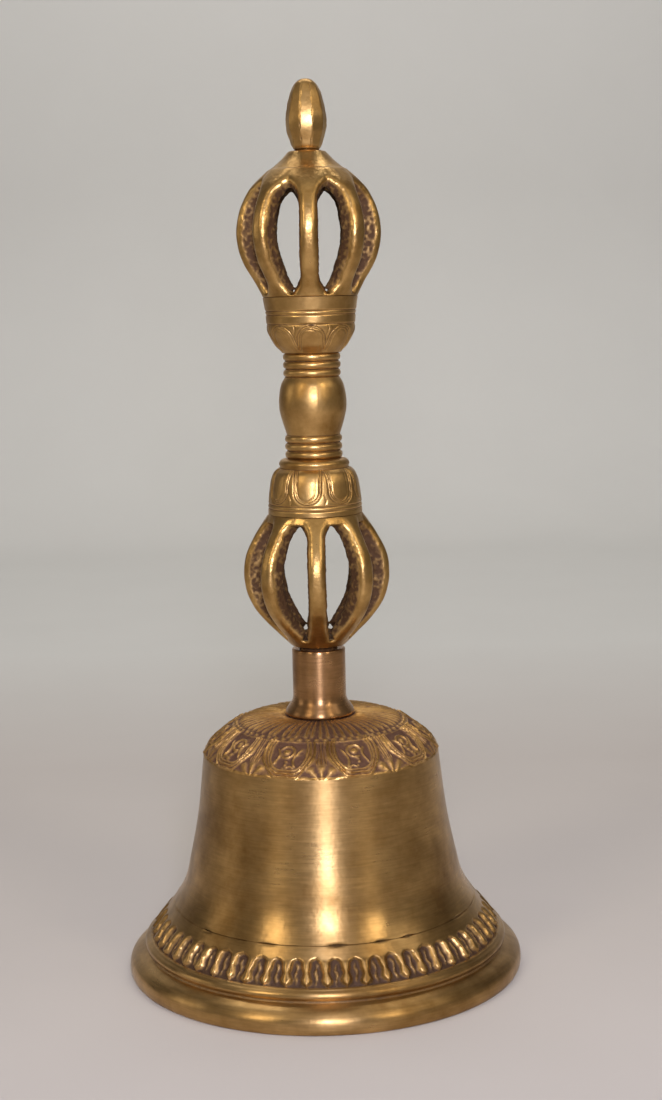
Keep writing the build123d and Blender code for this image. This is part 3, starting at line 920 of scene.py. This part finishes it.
def lower_lotus_cup():
    low, top = LOWER_CUP_LOW, LOWER_CUP_TOP
    body = smooth_run(
        [
            (CUP, low), (11.65, low + 2.2), (11.5, low + 4.0), (11.2, low + 6.4), (10.7, low + 8.8),
            (9.95, low + 10.4), (8.9, low + 11.3),
        ],
        78,
    )
    ring = smooth_run(
        [(8.9, low + 11.3), (8.6, low + 11.55), (8.75, low + 12.3), (8.35, low + 13.1), (7.3, top)], 14,
    )
    outline = joined_runs(body, ring, [(CORE, top), (CORE, low)])
    piece = turned("lower_lotus_cup_engraved", outline, 480)
    rings = [(8.7, low + 11.45), (11.65, low + 2.4), (11.6, low + 1.4)]
    raised(
        piece, outline, cup_relief(outline, rings, (11.6, low + 2.9), (9.0, low + 11.2), FRONT - 0.17, 1),
    )
    smooth(piece, 60)
    finish(piece, handled_bronze, "lower_lotus_cup")


def collar(name, cad_node, low, top):
    """Three half-round rings with dark roots."""
    pitch = (top - low) / 3
    rings = []
    for k in range(3):
        base = low + k * pitch
        rings += smooth_run(
            [
                (COLLAR - 0.62, base), (COLLAR - 0.1, base + 0.24 * pitch), (COLLAR, base + 0.5 * pitch),
                (COLLAR - 0.1, base + 0.76 * pitch), (COLLAR - 0.62, base + pitch),
            ],
            12,
        )
    outline = joined_runs(rings, [(CORE, top), (CORE, low)])

    def relief(angle, run, radius, height):
        share = ((height - low) / pitch) % 1.0
        root = crest(np.minimum(share, 1 - share) * pitch, 0.20)
        return 0.05 * lumps(angle, radius, height, 2.5, low) * (radius > CORE + 2), 1.0 - 0.95 * root

    piece = turned(name, outline, 192)
    raised(piece, outline, relief)
    smooth(piece, 60)
    finish(piece, handled_bronze, cad_node)


def centre_bead():
    low, top = BEAD_LOW, BEAD_TOP
    tall = top - low
    outline = joined_runs(
        smooth_run(
            [
                (6.6, low), (7.0, low + 0.09 * tall), (7.75, low + 0.27 * tall), (8.28, low + 0.44 * tall),
                (BEAD - 0.02, low + 0.58 * tall), (8.15, low + 0.74 * tall), (7.55, low + 0.90 * tall),
                (6.7, top),
            ],
            48,
        ),
        [(CORE, top), (CORE, low)],
    )

    def relief(angle, run, radius, height):
        dents = 0.07 * lumps(angle, radius, height, 5.0, 17.0)
        seam_off, _ = off_nearest(angle, 2, FRONT + 0.14)
        seam = 0.03 * crest(seam_off * radius, 0.25)
        ends = within(height, low + 0.25, top - 0.25, 0.08)
        return (dents + seam) * (radius > CORE + 2) * ends, 0.35 + 0.65 * ends

    piece = turned("centre_bead_turned", outline, 192)
    raised(piece, outline, relief)
    smooth(piece, 60)
    finish(piece, handled_bronze, "centre_bead")


def finial_bud():
    low, top = UPPER_CAGE_TOP, BUD_TOP
    outline = joined_runs(
        smooth_run(
            [
                (3.0, low), (3.55, low + 0.7), (4.15, low + 2.4), (4.85, low + 4.7), (BUD, low + 7.1),
                (4.75, low + 9.5), (4.25, low + 11.8), (3.5, low + 14.2), (2.5, low + 15.8),
                (1.2, low + 16.7), (0.02, top),
            ],
            64,
        ),
        [(0.02, low - 3.9), (1.75, low - 3.9), (1.75, low)],
    )
    seams = 10

    def relief(angle, run, radius, height):
        off, which = off_nearest(angle, seams, FRONT - 0.31)
        flat = radius * (math.cos(math.pi / seams) / np.cos(math.pi / seams - np.abs(off)) - 1) * 0.9
        outer = (height > low) & (radius > 0.1)
        body = within(height, low + 0.8, top - 1.5, 0.4)
        crack = crest(off * radius + 0.08 * np.sin(height * 2.1 + which), 0.17) * body
        skip = np.clip(lumps(angle, radius, height, 1.6, 40.0) + 0.4, 0, 1)
        dents = 0.05 * lumps(angle, radius, height, 3.0, 23.0)
        move = flat * body + dents * body - 0.17 * crack * skip
        worn = 1.0 - 0.9 * crack * skip - 0.8 * crest(height - low, 0.5)
        return np.where(outer, move, 0.0), np.where(outer, worn, 1.0)

    piece = turned("finial_bud_faceted", outline, 320)
    raised(piece, outline, relief)
    smooth(piece, 60)
    finish(piece, handled_bronze, "finial_bud")


# -------------------------------------------------------------------------------- carried-over CAD

carried_over = {
    "handle_core": dull_steel,
    "hanger_eye_bolt": dull_steel,
    "crown_washer": dull_steel,
    "crown_nut": dull_steel,
    "clapper_link": dull_steel,
    "clapper_rod": forged_iron,
    "clapper_bob": forged_iron,
}
for node_name, material in carried_over.items():
    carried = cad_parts[node_name]
    carried.data.materials.clear()
    carried.data.materials.append(material)

bell_shoulder()
bell_waist()
bell_foot()
neck_ferrule()
lower_cage()
lower_lotus_cup()
collar("lower_collar_rings", "lower_collar", LOWER_COLLAR_LOW, LOWER_COLLAR_TOP)
centre_bead()
collar("upper_collar_rings", "upper_collar", UPPER_COLLAR_LOW, UPPER_COLLAR_TOP)
upper_lotus_cup()
upper_cage()
finial_bud()

# ------------------------------------------------------------------------------------------- stage


def sweep():
    """Matt grey-beige paper: a floor that curves up into a backdrop behind the bell."""
    deselect()
    bpy.ops.mesh.primitive_plane_add(size=1)
    paper = bpy.context.object
    paper.name = "paper_sweep"
    bpy.ops.object.mode_set(mode="EDIT")
    bpy.ops.mesh.select_all(action="SELECT")
    bpy.ops.transform.resize(value=(8.0, 5.0, 1))
    bpy.ops.transform.translate(value=(0, -1.75, 0))
    bpy.ops.object.mode_set(mode="OBJECT")
    back = max(corner.co.y for corner in paper.data.vertices)
    for edge in paper.data.edges:
        edge.select = all(abs(paper.data.vertices[k].co.y - back) < 1e-6 for k in edge.vertices)
    for corner in paper.data.vertices:
        corner.select = abs(corner.co.y - back) < 1e-6
    for face in paper.data.polygons:
        face.select = False
    bpy.ops.object.mode_set(mode="EDIT")
    bend, steps = 0.25, 16
    for k in range(steps):
        turn, last = math.pi / 2 * (k + 1) / steps, math.pi / 2 * k / steps
        move = (0, bend * (math.sin(turn) - math.sin(last)), bend * (math.cos(last) - math.cos(turn)))
        bpy.ops.mesh.extrude_region_move(TRANSFORM_OT_translate={"value": move})
    bpy.ops.mesh.extrude_region_move(TRANSFORM_OT_translate={"value": (0, 0, 3.0)})
    bpy.ops.mesh.select_all(action="SELECT")
    bpy.ops.mesh.normals_make_consistent(inside=False)
    bpy.ops.object.mode_set(mode="OBJECT")
    smooth(paper, 60)
    made, tree = new_material("paper_matt_grey_beige")
    where = add(tree, "ShaderNodeTexCoord").outputs["Object"]
    fibres = add(tree, "ShaderNodeTexNoise", {"Vector": where, "Scale": 1 / (60 * MM), "Detail": 3.0})
    depth = add(tree, "ShaderNodeSeparateXYZ", {"Vector": where}).outputs["Y"]
    # Painted light: the paper's colour turns lighter from 0.20 m to 0.42 m behind the bell, standing in for
    # more light falling on the back of the sweep than on the floor in front.
    behind = add(
        tree, "ShaderNodeMapRange", {"Value": depth, "From Min": 0.20, "From Max": 0.42},
    ).outputs["Result"]
    far = add(
        tree, "ShaderNodeMix", {0: behind, 6: linear("#bdb7b2"), 7: linear("#cdccc8")}, data_type="RGBA",
    )
    near = add(
        tree, "ShaderNodeMix", {0: behind, 6: linear("#b8b2ad"), 7: linear("#c9c8c4")}, data_type="RGBA",
    )
    colour = add(
        tree,
        "ShaderNodeMix",
        {0: fibres.outputs["Fac"], 6: near.outputs[2], 7: far.outputs[2]},
        data_type="RGBA",
    )
    shader = add(tree, "ShaderNodeBsdfPrincipled", {"Base Color": colour.outputs[2], "Roughness": 0.9})
    add(tree, "ShaderNodeOutputMaterial", {"Surface": shader.outputs["BSDF"]})
    paper.data.materials.append(made)


def area_light(name, place, target, size, power, colour):
    """A soft box that faces a point. The camera doesn't see the box itself."""
    data = bpy.data.lights.new(name, "AREA")
    data.shape, data.size, data.size_y = "RECTANGLE", size[0], size[1]
    data.energy, data.color = power, linear(colour)[:3]
    lamp = bpy.data.objects.new(name, data)
    bpy.context.collection.objects.link(lamp)
    lamp.location = place
    lamp.rotation_euler = (Vector(target) - Vector(place)).to_track_quat("-Z", "Y").to_euler()
    lamp.visible_camera = False
    return lamp


def around(turn, lift, reach):
    """A place round the bell: degrees to the right of the front, degrees up, and metres away."""
    turn, lift = math.radians(turn), math.radians(lift)
    level = reach * math.cos(lift)
    return level * math.sin(turn), -level * math.cos(turn), 0.10 + reach * math.sin(lift)


def lighting():
    aim = (0, 0, 0.10)
    area_light("key_over_camera", (0.028, -0.56, 0.265), aim, (0.095, 0.16), 2.7, "#dfe3ff")
    area_light("soft_left", around(-42, 32, 0.75), aim, (0.15, 0.35), 1.05, "#fff3dc")
    area_light("soft_right", around(41, 32, 0.75), aim, (0.13, 0.35), 0.90, "#fff3dc")
    area_light("soft_far_left", around(-88, 15, 0.75), aim, (0.25, 0.35), 0.28, "#fff6e8")
    area_light("soft_far_right", around(72, 40, 0.75), aim, (0.25, 0.35), 0.30, "#fff6e8")
    area_light("soft_overhead", around(0, 65, 0.9), aim, (0.7, 0.5), 0.55, "#fff9f2")
    # This one is for the paper alone, and the metal doesn't mirror it.
    fill = area_light("paper_fill", (0.0, -0.62, 0.25), (0, 1.0, 0.10), (0.09, 0.08), 0.33, "#fff6e8")
    fill.data.spread, fill.visible_glossy = math.radians(64), False
    area_light("backdrop", (0, 0.45, 1.1), (0, 1.0, 0.25), (0.9, 0.3), 5.8, "#fbfaf9")
    world = bpy.data.worlds.new("dim_room")
    bpy.context.scene.world = world
    world.use_nodes = True
    world.node_tree.nodes["Background"].inputs["Color"].default_value = linear("#b8b4b0")
    world.node_tree.nodes["Background"].inputs["Strength"].default_value = 0.42
    bpy.context.scene.view_settings.view_transform = "Standard"


def camera():
    """Looks a little down on the bell from arm's length, leaning so that the handle tips to the left."""
    stand_off, eye_height = 0.450, 0.1695
    down, right, lean = math.radians(7.95), math.radians(0.47), math.radians(-1.30)
    ahead = Vector((math.sin(right) * math.cos(down), math.cos(right) * math.cos(down), -math.sin(down)))
    across = ahead.cross(Vector((0, 0, 1))).normalized()
    above = across.cross(ahead)
    x_axis = across * math.cos(lean) + above * math.sin(lean)
    y_axis = above * math.cos(lean) - across * math.sin(lean)
    data = bpy.data.cameras.new("camera")
    data.sensor_fit, data.sensor_height, data.lens = "VERTICAL", 36.0, 59.47
    data.clip_start = 0.01
    eye = bpy.data.objects.new("camera", data)
    bpy.context.collection.objects.link(eye)
    turn = Matrix((x_axis, y_axis, -ahead)).transposed().to_4x4()
    eye.matrix_world = Matrix.Translation((0, -stand_off, eye_height)) @ turn
    bpy.context.scene.camera = eye


sweep()
lighting()
camera()
